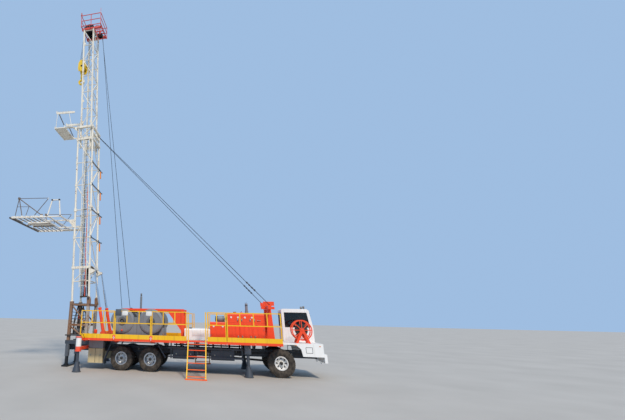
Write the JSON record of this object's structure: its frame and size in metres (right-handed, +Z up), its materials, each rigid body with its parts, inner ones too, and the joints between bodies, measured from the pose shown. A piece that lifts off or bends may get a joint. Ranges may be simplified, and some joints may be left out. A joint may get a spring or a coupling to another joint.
{
  "type": "truck-mounted workover rig",
  "caption": "Three-axle truck with a leaning two-section lattice mast, drawworks, folding boards, walkways with yellow rails, jacks and a half cab.",
  "frame": {"origin": "on the ground under the middle of the rig's overall box, on its centre line", "axes": "+X towards the truck's front, +Y to its left, +Z up"},
  "size_m": [16.6, 6.02, 23.9506],
  "materials": {
    "axle_black": "matt",
    "block_yellow": "worn",
    "cab_dark": "matt",
    "chassis": "satin",
    "chrome": "polished",
    "crown_red": "faded",
    "dark_steel": "greasy",
    "deck_grey": "matt",
    "drum_grey": "satin",
    "glass": "tinted",
    "guard_grey": "satin",
    "machine_grey": "oily",
    "mast_white": "chalky, worn",
    "red": "gloss",
    "rim_steel": "polished",
    "rim_white": "gloss",
    "rust": "rusty",
    "tyre": "dusty",
    "white": "gloss",
    "yellow": "gloss"
  },
  "bodies": {
    "carrier": {"chassis_frame": "chassis", "front_axle": "axle_black", "rear_axles": "axle_black", "mudguards": "guard_grey", "side_boxes": "chassis", "front_body": "white", "cab_shell": "white", "cab_glass": "glass", "cab_interior": "cab_dark", "deck": "deck_grey", "walkways": "red", "handrails": "yellow", "ladders": "yellow", "drawworks": "drum_grey", "gantry": "red", "deck_tank": "white", "engine_hood": "red", "engine_block": "machine_grey", "air_cleaner": "drum_grey", "front_stands": "red", "mast_base": "rust", "jack_housings": "white"},
    "mast_lower": {"mast_lower": "mast_white", "rope_guides": "dark_steel", "stays": "dark_steel"},
    "mast_upper": {"mast_upper": "mast_white", "crown_frame": "crown_red", "hoist_lines": "dark_steel"},
    "crown_sheaves": {"crown_sheaves": "dark_steel"},
    "line_sheave": {"line_sheave": "dark_steel"},
    "travelling_block": {"travelling_block": "block_yellow"},
    "tubing_board": {"tubing_board": "mast_white"},
    "rod_board": {"rod_board": "mast_white"},
    "ram_barrels": {"ram_barrels": "red"},
    "ram_stages": {"ram_stages": "chrome"},
    "ram_rods": {"ram_rods": "chrome"},
    "main_drum": {"main_drum": "machine_grey"},
    "sand_drum": {"sand_drum": "machine_grey"},
    "reel": {"reel": "red"},
    "cab_door": {"cab_door": "white", "cab_door_glass": "glass"},
    "mast_foot": {"mast_foot": "dark_steel"},
    "rear_jack_left": {"rear_jack_left": "chassis"},
    "rear_jack_right": {"rear_jack_right": "chassis"},
    "front_jack_left": {"front_jack_left": "chassis"},
    "front_jack_right": {"front_jack_right": "chassis"},
    "knuckle_left": {"knuckle_left": "axle_black"},
    "knuckle_right": {"knuckle_right": "axle_black"},
    "front_wheel_left": {"front_tyre_left": "tyre", "front_rim_left": "rim_white"},
    "rear_wheels_left": {"rear_tyres_left": "tyre", "rear_rims_left": "rim_steel"},
    "mid_wheels_left": {"mid_tyres_left": "tyre", "mid_rims_left": "rim_steel"},
    "front_wheel_right": {"front_tyre_right": "tyre", "front_rim_right": "rim_white"},
    "rear_wheels_right": {"rear_tyres_right": "tyre", "rear_rims_right": "rim_steel"},
    "mid_wheels_right": {"mid_tyres_right": "tyre", "mid_rims_right": "rim_steel"}
  },
  "joints": [
    {"name": "mast_tilt", "type": "hinge", "parent": "carrier", "child": "mast_lower", "pos_m": [-3.45, 0, 3.45], "axis": [0, 1, 0], "range_deg": [0, 93.5], "deforming": ["stays"]},
    {"name": "mast_retract", "type": "slide", "parent": "mast_lower", "child": "mast_upper", "axis": [0.061, 0, -0.9981], "range_m": [0, 7]},
    {"name": "crown_spin", "type": "hinge", "parent": "mast_upper", "child": "crown_sheaves", "pos_m": [-5.18597, 0, 22.65985], "axis": [0, 1, 0], "continuous": true},
    {"name": "line_sheave_spin", "type": "hinge", "parent": "mast_upper", "child": "line_sheave", "pos_m": [-4.39198, 0, 22.12733], "axis": [0, 1, 0], "continuous": true},
    {"name": "block_hoist", "type": "slide", "parent": "mast_upper", "child": "travelling_block", "axis": [0, 0, 1], "range_m": [-13.2, 0], "deforming": ["hoist_lines"]},
    {"name": "tubing_board_fold", "type": "hinge", "parent": "mast_lower", "child": "tubing_board", "pos_m": [-5.09976, 0, 7.88], "axis": [0, 1, 0], "range_deg": [0, 85]},
    {"name": "rod_board_fold", "type": "hinge", "parent": "mast_lower", "child": "rod_board", "pos_m": [-5.35954, 0, 14.171], "axis": [0, 1, 0], "range_deg": [0, 85]},
    {"name": "ram_tilt", "type": "hinge", "parent": "carrier", "child": "ram_barrels", "pos_m": [-2.5, 0, 1.65], "axis": [0, 1, 0], "range_deg": [0, 32.34]},
    {"name": "ram_stage_slide", "type": "slide", "parent": "ram_barrels", "child": "ram_stages", "axis": [-0.2216, 0, 0.9751], "range_m": [-0.89216, 0]},
    {"name": "ram_rod_slide", "type": "slide", "parent": "ram_stages", "child": "ram_rods", "axis": [-0.2216, 0, 0.9751], "range_m": [-0.89216, 0]},
    {"name": "main_drum_spin", "type": "hinge", "parent": "carrier", "child": "main_drum", "pos_m": [-1.41, 0, 2.31], "axis": [0, 1, 0], "continuous": true},
    {"name": "sand_drum_spin", "type": "hinge", "parent": "carrier", "child": "sand_drum", "pos_m": [0.1, 0, 2.31], "axis": [0, 1, 0], "continuous": true},
    {"name": "reel_spin", "type": "hinge", "parent": "carrier", "child": "reel", "pos_m": [7.38, -0.8, 2.08], "axis": [0, 1, 0], "continuous": true},
    {"name": "cab_door_hinge", "type": "hinge", "parent": "carrier", "child": "cab_door", "pos_m": [7.76, 1.266, 2.2], "axis": [0, 0, -1], "range_deg": [0, 70]},
    {"name": "mast_foot_slide", "type": "slide", "parent": "carrier", "child": "mast_foot", "axis": [0, 0, 1], "range_m": [0, 0.25]},
    {"name": "rear_jack_left_slide", "type": "slide", "parent": "carrier", "child": "rear_jack_left", "axis": [0, 0, 1], "range_m": [0, 0.25]},
    {"name": "rear_jack_right_slide", "type": "slide", "parent": "carrier", "child": "rear_jack_right", "axis": [0, 0, 1], "range_m": [0, 0.25]},
    {"name": "front_jack_left_slide", "type": "slide", "parent": "carrier", "child": "front_jack_left", "axis": [0, 0, 1], "range_m": [0, 0.25]},
    {"name": "front_jack_right_slide", "type": "slide", "parent": "carrier", "child": "front_jack_right", "axis": [0, 0, 1], "range_m": [0, 0.25]},
    {"name": "steer_left", "type": "hinge", "parent": "carrier", "child": "knuckle_left", "pos_m": [6.3, 0.8, 0.615], "axis": [0, 0, 1], "range_deg": [-30, 30]},
    {"name": "front_wheel_left_spin", "type": "hinge", "parent": "knuckle_left", "child": "front_wheel_left", "pos_m": [6.3, 0, 0.615], "axis": [0, 1, 0], "continuous": true},
    {"name": "rear_wheels_left_spin", "type": "hinge", "parent": "carrier", "child": "rear_wheels_left", "pos_m": [-1.3, 0, 0.56], "axis": [0, 1, 0], "continuous": true},
    {"name": "mid_wheels_left_spin", "type": "hinge", "parent": "carrier", "child": "mid_wheels_left", "pos_m": [0.15, 0, 0.56], "axis": [0, 1, 0], "continuous": true},
    {"name": "steer_right", "type": "hinge", "parent": "carrier", "child": "knuckle_right", "pos_m": [6.3, -0.8, 0.615], "axis": [0, 0, 1], "range_deg": [-30, 30]},
    {"name": "front_wheel_right_spin", "type": "hinge", "parent": "knuckle_right", "child": "front_wheel_right", "pos_m": [6.3, 0, 0.615], "axis": [0, 1, 0], "continuous": true},
    {"name": "rear_wheels_right_spin", "type": "hinge", "parent": "carrier", "child": "rear_wheels_right", "pos_m": [-1.3, 0, 0.56], "axis": [0, 1, 0], "continuous": true},
    {"name": "mid_wheels_right_spin", "type": "hinge", "parent": "carrier", "child": "mid_wheels_right", "pos_m": [0.15, 0, 0.56], "axis": [0, 1, 0], "continuous": true}
  ],
  "couplings": [
    {"joint": "ram_tilt", "follows": "mast_tilt", "ratio": 0.34575},
    {"joint": "ram_stage_slide", "follows": "mast_tilt", "m_per_rad": -0.5464},
    {"joint": "ram_rod_slide", "follows": "mast_tilt", "m_per_rad": -0.5464},
    {"joint": "steer_right", "follows": "steer_left", "ratio": 1}
  ]
}
